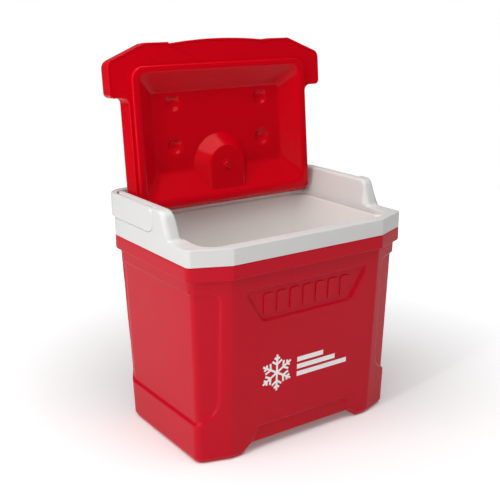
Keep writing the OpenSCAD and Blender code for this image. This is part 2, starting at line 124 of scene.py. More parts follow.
def soft_path(keys, cuts, steps=5):
    """Rows along a path through keys. Each inner key with a cut becomes a quadratic Bezier curve
    (1-t)^2 a + 2t(1-t) key + t^2 b, where a and b lie a cut before and after the key.
    Lengths are measured on a key's first two values; the other values follow."""
    keys = [np.asarray(key, float) for key in keys]
    rows = [keys[0]]
    for k in range(1, len(keys) - 1):
        if cuts[k] == 0:
            rows.append(keys[k])
            continue
        back = keys[k - 1] - keys[k]
        ahead = keys[k + 1] - keys[k]
        back_len = np.linalg.norm(back[..., :2], axis=-1, keepdims=True) + 1e-9
        ahead_len = np.linalg.norm(ahead[..., :2], axis=-1, keepdims=True) + 1e-9
        reach = np.minimum(cuts[k], 0.49 * np.minimum(back_len, ahead_len))
        a = keys[k] + back * reach / back_len
        b = keys[k] + ahead * reach / ahead_len
        rows += [(1 - t) ** 2 * a + 2 * t * (1 - t) * keys[k] + t * t * b
                 for t in np.linspace(0, 1, steps + 1)]
    rows.append(keys[-1])
    return np.stack(rows)


def pair(x, y):
    """Points from two coordinates that broadcast against each other."""
    return np.stack(np.broadcast_arrays(np.asarray(x, float), np.asarray(y, float)), -1)


def line(a, b, parts):
    """Points on the straight line from a to b at the given parts of its length, for every row."""
    parts = np.asarray(parts, float)[None, :, None]
    return a[:, None] * (1 - parts) + b[:, None] * parts


def arc(a, p, b, radius, steps):
    """Arc of a circle that rounds corner p between a and b, for every row: its centre lies on the
    bisector at radius / sin(half angle), its ends at radius / tan(half angle) from the corner."""
    radius = np.broadcast_to(np.asarray(radius, float), p.shape[:1])[:, None]
    u = (a - p) / np.linalg.norm(a - p, axis=-1, keepdims=True)
    v = (b - p) / np.linalg.norm(b - p, axis=-1, keepdims=True)
    half = np.arccos(np.clip((u * v).sum(-1, keepdims=True), -1, 1)) / 2
    bisector = (u + v) / np.linalg.norm(u + v, axis=-1, keepdims=True)
    centre = p + bisector * radius / np.sin(half)
    start = p + u * radius / np.tan(half) - centre
    end = p + v * radius / np.tan(half) - centre
    first = np.arctan2(start[:, 1], start[:, 0])
    turn = (np.arctan2(end[:, 1], end[:, 0]) - first + np.pi) % (2 * np.pi) - np.pi
    angle = first[:, None] + turn[:, None] * np.linspace(0, 1, steps + 1)
    return centre[:, None] + radius[:, None] * pair(np.cos(angle), np.sin(angle))


def mirrored(right):
    """A closed ring from its right half, which runs from the front's middle to the rear's."""
    left = right[:, -2:0:-1] * np.array([-1.0, 1.0])
    return np.concatenate([right, left], axis=1)


def round_x(y, side, corner_y, r):
    """x of a straight side that turns into a circle of radius r behind corner_y."""
    past = np.maximum(y - corner_y, 0)
    return side - r + np.sqrt(np.maximum(r * r - past * past, 0))


def inward(ring):
    """Unit vectors that point into a counterclockwise ring, square to its direction."""
    along = np.roll(ring, -1, axis=1) - np.roll(ring, 1, axis=1)
    along /= np.linalg.norm(along, axis=-1, keepdims=True) + 1e-9
    return np.stack([-along[..., 1], along[..., 0]], -1)


def lift(ring, z):
    """Gives the points of flat rings their height, one value a row or one a point."""
    z = np.asarray(z, float)
    z = np.broadcast_to(z[:, None] if z.ndim == 1 else z, ring.shape[:2])
    return np.concatenate([ring, z[..., None]], -1)


# ---- Meshes ----


class Mould:
    """Gathers grids of points into one closed mesh, and turns them into a Blender object."""

    def __init__(self, name):
        self.name = name
        self.points = []
        self.faces = []
        self.count = 0

    def add(self, points, faces):
        self.points.append(points.reshape(-1, 3))
        self.faces += (faces + self.count).tolist()
        self.count += points.size // 3

    def grid(self, points, wrap=True, start=False, end=False):
        """A grid of rows and columns joined by quads, its first and last rows closed if asked."""
        rows, cols = points.shape[:2]
        r = np.arange(rows - 1)[:, None]
        c = np.arange(cols if wrap else cols - 1)[None, :]
        ahead = (c + 1) % cols
        quads = np.stack([r * cols + c, r * cols + ahead,
                          (r + 1) * cols + ahead, (r + 1) * cols + c], -1)
        self.add(points, quads.reshape(-1, 4))
        if start:
            self.cap(points[0][::-1])
        if end:
            self.cap(points[-1])

    def cap(self, ring):
        """A fan of triangles from the ring's middle."""
        n = len(ring)
        index = np.arange(n)
        fan = np.stack([index, (index + 1) % n, np.full(n, n)], -1)
        self.add(np.concatenate([ring, ring.mean(axis=0)[None]]), fan)

    def build(self, body, material, stands_for, opened=False, crease=40):
        """Welds the grids, points the faces outwards and puts the piece on its body."""
        points = np.concatenate(self.points)
        if opened:
            points = turned_open(points)
        mesh = bpy.data.meshes.new(self.name)
        mesh.from_pydata((points * MM).tolist(), [], self.faces)
        work = bmesh.new()
        work.from_mesh(mesh)
        bmesh.ops.remove_doubles(work, verts=work.verts, dist=2e-6)
        bmesh.ops.dissolve_degenerate(work, edges=work.edges, dist=1e-6)
        bmesh.ops.recalc_face_normals(work, faces=work.faces)
        work.to_mesh(mesh)
        work.free()
        mesh.shade_smooth()
        mesh.set_sharp_from_angle(angle=np.radians(crease))
        mesh.materials.append(material)
        piece = bpy.data.objects.new(self.name, mesh)
        bpy.context.scene.collection.objects.link(piece)
        shading = piece.modifiers.new("face_weighting", "WEIGHTED_NORMAL")
        shading.mode = "FACE_AREA_WITH_ANGLE"
        shading.keep_sharp = True
        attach(piece, body)
        if stands_for:
            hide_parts(*stands_for)
        return piece


def turned_open(points):
    """Points of the shut lid, turned about the hinge axis by the opening angle."""
    y = points[:, 1] - hinge_y
    z = points[:, 2] - hinge_z
    c, s = np.cos(open_angle), np.sin(open_angle)
    return np.stack([points[:, 0], hinge_y + y * c + z * s, hinge_z - y * s + z * c], -1)


# ---- Shader tools ----


class Value:
    """A shader value. Arithmetic with it adds Math nodes."""

    def __init__(self, paint, socket):
        self.paint = paint
        self.socket = socket

    def math(self, operation, *values):
        return self.paint.node("ShaderNodeMath", {"operation": operation},
                               dict(enumerate(values)))[0]

    def __add__(self, other):
        return self.math("ADD", self, other)

    def __radd__(self, other):
        return self.math("ADD", other, self)

    def __sub__(self, other):
        return self.math("SUBTRACT", self, other)

    def __rsub__(self, other):
        return self.math("SUBTRACT", other, self)

    def __mul__(self, other):
        return self.math("MULTIPLY", self, other)

    def __rmul__(self, other):
        return self.math("MULTIPLY", other, self)


class Paint:
    """A material's node tree, with one method that adds any node."""

    def __init__(self, name):
        self.material = bpy.data.materials.new(name)
        self.material.use_nodes = True
        self.tree = self.material.node_tree
        self.shader = self.tree.nodes["Principled BSDF"]

    def node(self, kind, settings, inputs):
        """Adds a node, makes its settings, then fills its sockets, and returns its outputs."""
        node = self.tree.nodes.new(kind)
        for name, value in settings.items():
            setattr(node, name, value)
        for name, value in inputs.items():
            self.fill(node.inputs[name], value)
        return {key: Value(self, out) for i, out in enumerate(node.outputs)
                for key in (i, out.name)}

    def fill(self, socket, value):
        if isinstance(value, Value):
            self.tree.links.new(value.socket, socket)
        else:
            socket.default_value = value

    def finish(self, **inputs):
        """Fills the shader's own sockets, named in words joined by underscores."""
        for name, value in inputs.items():
            self.fill(self.shader.inputs[name.replace("_", " ")], value)
        return self.material


def linear(red, green, blue):
    """A colour given as it looks on a screen, from 0 to 1, as linear light."""
    c = np.array([red, green, blue])
    c = np.where(c <= 0.04045, c / 12.92, ((c + 0.055) / 1.055) ** 2.4)
    return (*c.tolist(), 1.0)


def moulded(name, base, deep, roughness, grain=0.012, wave=0.03, specular=0.5):
    """Injection-moulded plastic: a faint drift between two tones of its colour, patches that the
    mould left a little duller, a fine spark-eroded grain and a slow unevenness of the wall."""
    paint = Paint(name)
    place = paint.node("ShaderNodeTexCoord", {}, {})["Object"]

    def noise(scale, detail, rough=0.5):
        return paint.node("ShaderNodeTexNoise", {}, {
            "Vector": place, "Scale": scale, "Detail": detail, "Roughness": rough})[0]

    drift = noise(scale=9.0, detail=3.0)
    tone = paint.node("ShaderNodeMix", {"data_type": "RGBA"}, {
        0: drift * 0.9, 6: linear(*base), 7: linear(*deep)})[2]
    dull = noise(scale=34.0, detail=4.0, rough=0.6)
    fine = noise(scale=1500.0, detail=2.0)
    slow = noise(scale=14.0, detail=1.0)
    uneven = paint.node("ShaderNodeBump", {}, {"Strength": wave, "Distance": 0.01, "Height": slow})
    surface = paint.node("ShaderNodeBump", {}, {
        "Strength": 1.0, "Distance": grain * MM, "Height": fine, "Normal": uneven["Normal"]})
    return paint.finish(Base_Color=tone, Roughness=dull * 0.10 + (roughness - 0.05),
                        Normal=surface["Normal"], Specular_IOR_Level=specular)


red_body = moulded("red_body_plastic", (0.78, 0.0, 0.125), (0.76, 0.0, 0.115), roughness=0.30,
                   specular=0.16)
red_lid = moulded("red_lid_plastic", (0.82, 0.0, 0.085), (0.80, 0.0, 0.075), roughness=0.18,
                  grain=0.002, wave=0.008, specular=0.13)
white_rim = moulded("white_rim_plastic", (0.87, 0.87, 0.865), (0.855, 0.855, 0.845),
                    roughness=0.40)
white_liner = moulded("white_liner_plastic", (0.965, 0.955, 0.945), (0.955, 0.945, 0.93),
                      roughness=0.32, grain=0.004)
white_handle = moulded("white_handle_plastic", (0.875, 0.875, 0.87), (0.86, 0.86, 0.855),
                       roughness=0.38)
white_pin = moulded("white_pin_plastic", (0.90, 0.90, 0.89), (0.87, 0.87, 0.86), roughness=0.45)
emblem_ink = moulded("white_print_ink", (0.99, 0.99, 0.985), (0.97, 0.97, 0.965), roughness=0.5,
                     grain=0.006)


def insulation():
    """Rigid foam: cream cells, their walls lighter than the pits between them."""
    paint = Paint("foam_insulation")
    place = paint.node("ShaderNodeTexCoord", {}, {})["Object"]
    cells = paint.node("ShaderNodeTexVoronoi", {}, {"Vector": place, "Scale": 420.0})["Distance"]
    tone = paint.node("ShaderNodeMix", {"data_type": "RGBA"}, {
        0: cells, 6: linear(0.80, 0.72, 0.52), 7: linear(0.93, 0.88, 0.72)})[2]
    bump = paint.node("ShaderNodeBump", {}, {"Strength": 0.6, "Distance": 0.0006, "Height": cells})
    return paint.finish(Base_Color=tone, Roughness=0.9, Normal=bump["Normal"])


foam = insulation()

# ---- Outer shell ----

shell_t = 3.0               # skin thickness
band_top = band_bottom - 0.1
step_in = 5.7               # the wall under the red band stands back this far
wall_lean = 8.6             # and leans in this much more by the floor
front_lean = 1.2            # the front leans in more than the sides
body_cut_w, body_cut_d = 50.5, 21       # cut across the body's front corners, under the band
cut_w_loss, cut_d_loss = 5, 7           # and how much smaller it is at the floor
body_front_r, body_rear_r = 12, 24
bevel_h = 7                 # bevel round the foot
bevel_in = 3.4
channel_top = 12            # gap between the foot rails
channel_half = 106
channel_slope = 18
recess = 2.8                # depth of the label field and the toe recess
panel_depth = 1.2           # the side panels are this many times deeper
panel_x = 137.5             # their front edge, measured from the middle
panel_low, panel_high = 53, 246
panel_rear = rim_rear - 17
panel_cut_z = 76            # where their lower front corner starts to be cut
label_low, label_high = 193, 242
label_half = 76             # half-width of the label field's lower edge
toe_half, toe_top = 80, 40
rib_count, rib_pitch = 7, 22.0
rib_half, rib_tall, rib_z = 8.0, 15.5, 217.5
rib_back = 1.2              # a rib's face lies this far behind the wall's
arc_steps = 7

face_parts = spaced(0, 1, [(0.53, 0.92)], 0.0095, 0.034)
chamfer_parts = spaced(0, 1, [(0.02, 0.62)], 0.026, 0.06)[1:-1]
side_parts = spaced(0, 1, [(0, 0.10), (0.86, 0.97)], 0.0085, 0.03)[1:-1]


def fall(z):
    """How far down the wall a height is: 0 under the red band and 1 at the floor."""
    return (flange_bottom - z) / flange_bottom


def wall_inset(z):
    """The wall leans in evenly from the step under the red band down to the floor."""
    return step_in + wall_lean * fall(z)


def body_level(z, inset=0.0):
    """One level of the body: inset, height, width and depth of the cut across its front corners,
    front and rear corner radius, and how far the front leans in more than the sides."""
    return [wall_inset(z) + inset, z, body_cut_w - cut_w_loss * fall(z),
            body_cut_d - cut_d_loss * fall(z), body_front_r, body_rear_r, front_lean * fall(z)]


def band_level(z, inset):
    """One level of the red band, in the same order. An inset band keeps its shape."""
    return [inset, z, cut_w - 0.6 * inset, cut_d - 0.6 * inset, front_r - inset / 2,
            rear_r - inset, 0]


def plan_ring(levels):
    """The cooler's plan for each level, as a closed ring in four runs: the front with its chamfers,
    the right side, the rear and the left side. The rear has the front's x, and y from the circle
    of its corners, so that the base can be ruled straight from front to rear."""
    inset, _, cut_x, cut_y, r_front, r_rear, lean = np.asarray(levels).T
    half = half_w - inset
    front = rim_front + inset + lean
    rear = rim_rear - inset
    middle = pair(0 * half, front)
    inner = pair(half - cut_x, front)
    outer = pair(half, front + cut_y)
    inner_arc = arc(middle, inner, outer, r_front, arc_steps)
    outer_arc = arc(inner, outer, pair(half, rear), r_front, arc_steps)
    right = np.concatenate([line(middle, inner_arc[:, 0], face_parts)[:, :-1], inner_arc,
                            line(inner_arc[:, -1], outer_arc[:, 0], chamfer_parts), outer_arc],
                           axis=1)
    front_run = np.concatenate([right[:, :0:-1] * [-1.0, 1.0], right], axis=1)
    x = front_run[..., 0]
    past = np.clip(np.abs(x) - (half - r_rear)[:, None], 0, r_rear[:, None])
    drop = r_rear[:, None] - np.sqrt(np.maximum(r_rear[:, None] ** 2 - past ** 2, 0))
    rear_run = pair(x, rear[:, None] - drop)
    side_run = line(front_run[:, -1], rear_run[:, -1], side_parts)
    return np.concatenate([front_run, side_run, rear_run[:, ::-1], side_run[:, ::-1] * [-1.0, 1.0]],
                          axis=1), front_run.shape[1]


def channel_height(x):
    """Height of the gap between the foot rails, sloping down to the floor on each side."""
    return channel_top * ease((channel_half - np.abs(x)) / channel_slope)


def inside_edge(x, z, through, normal):
    """Distance of a place inside a slanted edge, from a point on the edge and its normal."""
    return ((x - through[0]) * normal[0] + (z - through[1]) * normal[1]) / np.hypot(*normal)


def recess_depth(x, y, z):
    """How deep the wall is let in: side panels, the label field on the front and the toe recess.
    Each is a convex field; its depth rises with the distance inside its edges."""
    side = np.abs(x)
    panel = soft_min([side - panel_x, z - panel_low, panel_high - z, panel_rear - y,
                      inside_edge(side, z, (panel_x, panel_cut_z), (23, 31))], 5.0)
    label = soft_min([label_high - z, z - label_low,
                      inside_edge(side, z, (label_half, label_low), (-49, 31))], 2.4)
    toe = soft_min([toe_top - z, inside_edge(side, z, (toe_half, toe_top), (-41, -13))], 1.5)
    front = y < 0
    return recess * (panel_depth * ease(panel / 4.2)
                     + front * ease(label / 2.8) + front * ease(toe / 3.5))


def outer_shell():
    """The shell's skin: its plan carried down a profile of band, step, wall and foot bevel, let in
    along the inward normals by the recesses, then a ruled base and a plain inner skin."""
    wall_high, wall_low = 258, 9
    top = soft_path([band_level(band_top, shell_t), band_level(band_top, 0.0),
                     band_level(flange_bottom, 0.0), body_level(flange_bottom),
                     body_level(wall_high)], [0, 0.9, 1.8, 1.6, 0], 4)
    edges = [(34, 43), (49, 80), (190, 198), (236, 250)]
    z = spaced(wall_low, wall_high - 1, edges, fine=0.9, coarse=4.5)[::-1]
    wall = np.array([body_level(height) for height in z])
    foot = soft_path([body_level(wall_low), body_level(bevel_h), body_level(0, bevel_in),
                      body_level(0, bevel_in + 5)], [0, 2.0, 2.0, 0], 4)[1:]
    levels = np.concatenate([top, wall, foot])
    ring, front_count = plan_ring(levels)
    height = levels[:, 1][:, None]
    depth = recess_depth(ring[..., 0], ring[..., 1], height) * (height < flange_bottom - 4)
    ring = ring + inward(ring) * depth[..., None]
    gap = channel_height(ring[..., 0])
    reach = 30                          # the channel lifts the levels below this height
    skin = lift(ring, np.where(height < reach, gap + height * (1 - gap / reach), height))

    side_count = len(side_parts)
    front_edge = skin[-1, :front_count]
    rear_edge = skin[-1, front_count + side_count:2 * front_count + side_count][::-1]
    side_y = np.concatenate([front_edge[-1:, 1], skin[-1, front_count:front_count + side_count, 1],
                             rear_edge[-1:, 1]])
    part = ((side_y - side_y[0]) / (side_y[-1] - side_y[0]))[:, None, None]
    base = front_edge * (1 - part) + rear_edge * part

    inner_levels = np.array([band_level(band_top, shell_t), band_level(flange_bottom + 2, shell_t),
                             body_level(flange_bottom - 3, shell_t + recess),
                             body_level(24, shell_t + recess), body_level(16, 8.0 + recess)])
    inner = lift(plan_ring(inner_levels)[0], inner_levels[:, 1])
    mould = Mould("shell_skin")
    mould.grid(skin)
    mould.grid(base, wrap=False)
    mould.grid(inner, end=True)
    for x in (np.arange(rib_count) - (rib_count - 1) / 2) * rib_pitch:
        mould.grid(rib(x), start=True, end=True)
    return mould.build("body", red_body, ["outer_shell"])


def front_face(z):
    """y of the front wall at height z."""
    return rim_front + wall_inset(z) + front_lean * fall(z)


def rib(x):
    """A raised pad in the label field: a rounded rectangle that shrinks over its softened edge.
    Its rows give how far it shrinks and how deep in the wall it lies."""
    rows = soft_path([[0, 3.4], [0, rib_back], [1.2, rib_back], [4, rib_back]],
                     [0, 0.9, 0, 0], 4)
    half, tall = rib_half - rows[:, 0], rib_tall - rows[:, 0]
    corners = [pair(sx * half, sz * tall) for sx, sz in ((1, -1), (1, 1), (-1, 1), (-1, -1))]
    radius = np.maximum(4.0 - 0.8 * rows[:, 0], 0.5)
    ring = np.concatenate([arc(corners[k - 1], corners[k], corners[(k + 1) % 4], radius, 6)
                           for k in range(4)], axis=1)
    z = ring[..., 1] + rib_z
    return np.stack([ring[..., 0] + x, front_face(z) + rows[:, 1][:, None], z], -1)


# ---- Rim ----


wall_foot = rim_front + 66  # front foot of the side walls
wall_end = rim_rear - 10    # their rear end
wall_end_r = 6              # rounding of its upper corner
shelf_rise = 2.2            # shelf that the handle lies on, above the seat
pocket_steps = 16
wall_front = soft_path([[wall_foot - 8, seat_z], [wall_foot + 3, seat_z],
                        [wall_foot + 19.5, wall_top], [wall_foot + 41, wall_top]],
                       [0, 9, 10, 0], 14)


def front_stations():
    """Outer points and opening points along the front and round its corner, from the middle."""
    one = np.ones(1)
    middle = pair(0 * one, rim_front)
    inner = pair((half_w - cut_w) * one, rim_front)
    outer = pair(half_w * one, rim_front + cut_d)
    arc_a = arc(middle, inner, outer, radius=6, steps=9)
    arc_b = arc(inner, outer, pair(half_w * one, 0), radius=front_r, steps=9)
    chamfer = line(arc_a[:, -1], arc_b[:, 0], np.linspace(0, 1, 9)[1:-1])
    bend = np.concatenate([arc_a, chamfer, arc_b], axis=1)[0]
    hole = arc(pair(0 * one, open_front), pair(open_half * one, open_front),
               pair(open_half * one, 0), radius=open_r, steps=len(bend) - 1)[0]
    parts = np.linspace(0, 1, 15)[:-1, None]
    front_out = middle[0] * (1 - parts) + bend[0] * parts
    front_in = pair(0, open_front) * (1 - parts) + hole[0] * parts
    return np.concatenate([front_out, bend]), np.concatenate([front_in, hole])


def wall_stations():
    """Stations along a side wall: y, height of the wall's top, and height of its outer half, which
    drops into a round pocket about the handle's pivot and runs on as the shelf."""
    radius = pivot_z - (seat_z + shelf_rise)
    turn = np.linspace(0, np.pi / 2, pocket_steps)
    pocket_y = pivot_y - radius * np.cos(turn)
    pocket_z = pivot_z - radius * np.sin(turn)
    back_y = spaced(pivot_y + 8, wall_end, [(rim_rear - 30, wall_end)], fine=1.2, coarse=9)
    past = np.clip(back_y - (wall_end - wall_end_r), 0, wall_end_r)
    round_off = wall_end_r - np.sqrt(wall_end_r ** 2 - past ** 2)
    y = np.concatenate([wall_front[:, 0], pocket_y[:1] - 0.6, pocket_y[:1] - 0.05, pocket_y,
                        back_y, [wall_end + 0.5, wall_end + 0.8]])
    top = np.concatenate([wall_front[:, 1], np.full(2 + pocket_steps, wall_top),
                          wall_top - round_off, [wall_top - 8, seat_z]])
    shelf = np.concatenate([wall_front[:, 1], [wall_top, wall_top - 0.8], pocket_z,
                            np.full(len(back_y), pocket_z[-1]), [pocket_z[-1], seat_z]])
    return y, top, shelf


def rear_stations(first_y, side, rear, r):
    """Points round a rear corner of radius r, from where it passes first_y, and on to the middle
    of the rear."""
    centre_y = rear - r
    turn = np.linspace(np.arcsin((first_y - centre_y) / r), np.pi / 2, 9)[1:, None]
    corner = np.concatenate([side - r + r * np.cos(turn), centre_y + r * np.sin(turn)], 1)
    parts = np.linspace(0, 1, 15)[1:, None]
    return np.concatenate([corner, corner[-1] * (1 - parts) + pair(0, rear) * parts])


def rim_stations():
    """Every station of the rim's right half: outer point, opening point, heights of the wall's top
    and of the shelf, and whether the station is on the side wall."""
    front_out, front_in = front_stations()
    y, top, shelf = wall_stations()
    corner_y = open_rear - open_r
    y_in = np.minimum(y, corner_y + (y - corner_y) * 0.8)
    wall_out = pair(round_x(y, half_w, rim_rear - rear_r, rear_r), y)
    wall_hole = pair(round_x(y_in, open_half, corner_y, open_r), y_in)
    parts = np.linspace(0, 1, 8)[1:-1, None]
    lead_out = front_out[-1] * (1 - parts) + wall_out[0] * parts
    lead_in = front_in[-1] * (1 - parts) + wall_hole[0] * parts
    rear_out = rear_stations(y[-1], half_w, rim_rear, rear_r)
    rear_in = rear_stations(y_in[-1], open_half, open_rear, open_r)

    before, after = len(front_out) + len(lead_out), len(rear_out)
    out = np.concatenate([front_out, lead_out, wall_out, rear_out])
    hole = np.concatenate([front_in, lead_in, wall_hole, rear_in])
    top = np.concatenate([np.full(before, seat_z), top, np.full(after, seat_z)])
    shelf = np.concatenate([np.full(before, seat_z), shelf, np.full(after, seat_z)])
    on_wall = np.repeat([False, True, False], [before, len(y), after])
    return out, hole, top, shelf, on_wall


def rounded_corners(section, foot, on_wall, y):
    """Heights of a section, with the side wall's two front corners rounded as seen from above:
    near them its front slope starts further back, by what a quarter circle leaves of the corner."""
    outer_r, inner_r = 8.0, 11.0
    from_outside, from_inside = section[..., 0], foot - section[..., 0]
    behind = 0
    for r, away in ((outer_r, from_outside), (inner_r, from_inside)):
        gap = np.clip(r - away, 0, r)
        behind = behind + r - np.sqrt(r * r - gap * gap)
    ceiling = np.interp(np.where(on_wall, y, 0) - behind, wall_front[:, 0], wall_front[:, 1])
    raised = on_wall & (section[..., 1] > seat_z + 0.2)
    return np.where(raised, np.minimum(section[..., 1], ceiling), section[..., 1])


def rim_collar():
    """The rim: at each station round it, a cross-section between an outer point and a point on the
    opening. The section is a flat seat that rises into a side wall, whose outer half drops to the
    shelf that the folded handle lies on."""
    out, hole, top, shelf, on_wall = rim_stations()
    width = np.linalg.norm(hole - out, axis=1)
    run = np.maximum(out[:, 0] - hole[:, 0], 1.0)

    def across(x, otherwise):
        """Distance from the outer face to where the section reaches x, or a share of the seat."""
        return np.where(on_wall, np.clip((out[:, 0] - x) / run, 0, 1) * width, otherwise * width)

    bend_y = rim_rear - 22.4            # the handle's arm bends behind this
    pocket_x = np.where(out[:, 1] > bend_y, round_x(out[:, 1], half_w - 9, bend_y, 21.2),
                        half_w - 7.2)
    shelf_in = across(pocket_x, 0.3)
    crest = across(wall_in, 0.62)
    foot = across(open_half, 0.86)
    flat = np.zeros(len(out))
    under = liner_top + 0.1 + flat
    slope = [pair(foot + (crest - foot) * k, seat_z + (top - seat_z) * k)
             for k in (0.15, 0.3, 0.5, 0.7)]
    keys = [pair(width, under), pair(width, seat_z + flat), pair(foot, seat_z + flat), *slope,
            pair(crest, top), pair(shelf_in, top), pair(shelf_in, shelf),
            pair(np.minimum(shelf_in, 5.2), shelf), pair(np.minimum(shelf_in, 3.4), shelf),
            pair(flat, shelf), pair(flat, band_bottom + flat),
            pair(shell_t + flat, band_bottom + flat), pair(shell_t + flat, under),
            pair(width, under)]
    section = soft_path(keys, [0, 1.6, 0.6, 0, 0, 0, 0, 4.5, 1.2, 0.8, 0, 0, 2.4, 0.9, 0, 0, 0], 5)
    section[..., 1] = rounded_corners(section, foot, on_wall, out[:, 1])
    part = section[..., :1] / width[:, None]
    ring = mirrored(out * (1 - part) + hole * part)
    z = np.concatenate([section[..., 1], section[:, -2:0:-1, 1]], axis=1)
    mould = Mould("rim_moulding")
    mould.grid(lift(ring, z))
    return mould.build("body", white_rim, ["rim_collar"])


# ---- Liner ----


liner_t = 2.5


def liner_ring(levels):
    """The liner's plan for each level: inset from the opening, height, the width and depth of the
    cut across its front corners, and the radii of its front and rear corners."""
    inset, _, cut_x, cut_y, r_front, r_rear = np.asarray(levels).T
    half, front, rear = open_half - inset, open_front + inset, open_rear - inset
    start, end = pair(0 * half, front), pair(0 * half, rear)
    a, b, c = pair(half - cut_x, front), pair(half, front + cut_y), pair(half, rear)
    arcs = [arc(start, a, b, r_front, 8), arc(a, b, c, r_front, 8), arc(b, c, end, r_rear, 10)]
    ends = [start] + [p for curve in arcs for p in (curve[:, 0], curve[:, -1])] + [end]
    counts = [16, 8, 24, 20]
    lines = [line(ends[2 * k], ends[2 * k + 1], np.linspace(0, 1, n + 1))
             for k, n in enumerate(counts)]
    right = [lines[0][:, :-1]]
    for k, curve in enumerate(arcs):
        right += [curve, lines[k + 1][:, 1:] if k == 2 else lines[k + 1][:, 1:-1]]
    return mirrored(np.concatenate(right, axis=1))


def inner_liner():
    """The liner: a flange under the rim, a rolled edge, leaning walls, a coved floor, and the same
    again a skin's thickness outside."""
    floor = liner_low[2] + liner_t
    flange = [34, 18, 12, 14]
    mouth = [42, 32, 15, 24]
    foot = [42, 32, 15, 18]
    inside = soft_path([[-9.0, liner_top, *flange], [0.2, liner_top, *mouth], [13.6, floor, *foot],
                        [60, floor, 30, 22, 12, 12]], [0, 3.5, 16, 0], 9)
    outside = np.array([[-9.0, liner_top - liner_t, *flange], [-2.3, liner_top - liner_t, *mouth],
                        [11.6, floor + 10, *foot], [22, floor - liner_t, 42, 32, 12, 12]])
    levels = np.concatenate([inside[::-1], outside])
    mould = Mould("liner_tub")
    mould.grid(lift(liner_ring(levels), levels[:, 1]), start=True, end=True)
    return mould.build("body", white_liner, ["inner_liner"])


# ---- Lid, shaped shut ----

lid_half = open_half - 3
lid_bottom = seat_z + 0.5
lid_front = rim_front - 9
ear_rear = rim_front + 64
barrel_r = hinge_z - lid_bottom
lip_half = 84               # half-width of the bowed lip
skirt_t = 3.1               # thickness of the skirt
side_h = 18                 # height of its upright side
shoulder_in = 8.5           # width of the rounded shoulder above
crown_h, dome_h = 28.7, 0.8             # height of the lid's top at its edge, and its rise
crown_y, crown_reach = rim_front + 113, 125
flange_z = lid_bottom + 0.6 # underside of the pan's flat flange
plug_z = seat_z - 5.5       # underside of the pan's ridge
pan_floor = plug_z + 21.3
star = np.array([0.0, rim_front + 35])  # all of the lid's outline is in sight from this point


def lid_ring(inset, z, rear):
    """The lid's outline for each level: a bowed lip, a notch and an ear in front of the side wall,
    then the straight side between the walls. It keeps its shape as the inset grows."""
    inset, z, rear = np.broadcast_arrays(np.atleast_1d(inset).astype(float), z, rear)
    middle = lid_half + seat_side_w * (z - lid_bottom) / wall_rise - inset
    out = half_w - inset
    front = lid_front + inset
    back = ear_rear - inset
    t = np.linspace(0, 1, 25)
    lip = np.stack(np.broadcast_arrays(lip_half * t, front[:, None] + 2 - 5 * (1 - t * t)), -1)
    points = [pair(lip_half + 0 * inset, front + 2), pair(lip_half + 1.6 + 0 * inset, front),
              pair(out - cut_w - 2, front), pair(out, front + cut_d), pair(out, back),
              pair(middle, back), pair(middle, rear), pair(0 * inset, rear)]
    notch = arc(lip[:, 0], points[0], points[1], radius=0.6, steps=3)
    step = arc(points[0], points[1], points[2], radius=0.9, steps=3)
    bend = arc(points[1], points[2], points[3], radius=9, steps=6)
    ear = arc(*points[2:5], radius=np.maximum(12 - 0.6 * inset, 3), steps=8)
    tip = arc(*points[3:6], radius=np.maximum(7 - 0.5 * inset, 1.5), steps=6)
    armpit = arc(*points[4:7], radius=9.5 + 0.3 * inset, steps=8)
    heel = arc(*points[5:8], radius=np.maximum(5 - 0.3 * inset, 1), steps=5)
    runs = [(step, bend, 8), (bend, ear, 8), (ear, tip, 8), (tip, armpit, 3), (armpit, heel, 26)]
    right = [lip[:, :-1], notch, step]
    for a, b, n in runs:
        right += [line(a[:, -1], b[:, 0], np.linspace(0, 1, n + 1)[1:-1]), b]
    right.append(line(heel[:, -1], points[7], np.linspace(0, 1, 21)[1:]))
    return mirrored(np.concatenate(right, axis=1))


def lid_rear(z):
    """The lid's rear is round about the hinge axis below it, and upright above."""
    below = np.minimum(np.asarray(z, float) - hinge_z, 0)
    return hinge_y + np.sqrt(np.maximum(barrel_r ** 2 - below ** 2, 0))


def crown(ring):
    """Height of the lid's top: a low dome that falls off with the fourth power near its edges."""
    x = np.abs(ring[..., 0]) / half_w
    y = np.abs(ring[..., 1] - crown_y) / crown_reach
    rise = (1 - np.clip(x, 0, 1) ** 4) * (1 - np.clip(y, 0, 1) ** 4)
    return lid_bottom + crown_h + dome_h * rise


